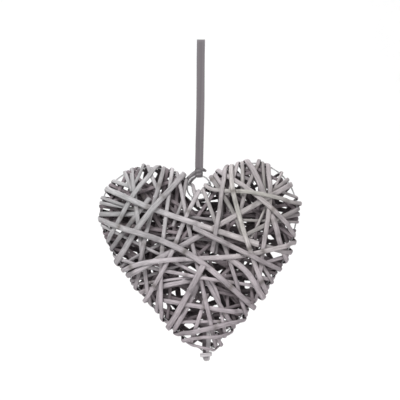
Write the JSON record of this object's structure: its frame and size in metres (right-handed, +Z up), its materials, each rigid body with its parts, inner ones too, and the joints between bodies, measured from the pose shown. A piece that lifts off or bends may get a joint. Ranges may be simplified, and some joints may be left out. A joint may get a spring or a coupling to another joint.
{
  "type": "wicker heart wall decoration",
  "caption": "Open padded heart wound from split grey willow rods on a wire rim, hung by a ribbon loop tied to a small wire ring.",
  "frame": {"origin": "inside the top fold of the ribbon loop, where a hook or nail carries it", "axes": "+Z up along the ribbon, +X to the viewer's right, -Y towards the viewer"},
  "size_m": [0.2526, 0.06, 0.3988],
  "materials": {
    "willow": "grey washed split willow, dull",
    "wire": "pale galvanised wire",
    "ribbon": "grey satin ribbon"
  },
  "bodies": {
    "root": {"rim_wire": "wire", "hanging_ring": "wire", "ribbon_loop": "ribbon", "ribbon_knot": "ribbon", "spine_stick": "willow", "tip_binding": "willow", "willow_rod_01": "willow", "willow_rod_02": "willow", "willow_rod_03": "willow", "willow_rod_04": "willow", "willow_rod_05": "willow", "willow_rod_06": "willow", "willow_rod_07": "willow", "willow_rod_08": "willow", "willow_rod_09": "willow", "willow_rod_10": "willow", "willow_rod_11": "willow", "willow_rod_12": "willow", "willow_rod_13": "willow", "willow_rod_14": "willow", "willow_rod_15": "willow", "willow_rod_16": "willow", "willow_rod_17": "willow", "willow_rod_18": "willow", "willow_rod_19": "willow", "willow_rod_20": "willow", "willow_rod_21": "willow", "willow_rod_22": "willow", "willow_rod_23": "willow", "willow_rod_24": "willow", "willow_rod_25": "willow", "willow_rod_26": "willow", "willow_rod_27": "willow", "willow_rod_28": "willow", "willow_rod_29": "willow", "willow_rod_30": "willow", "willow_rod_31": "willow", "willow_rod_32": "willow"}
  },
  "joints": []
}
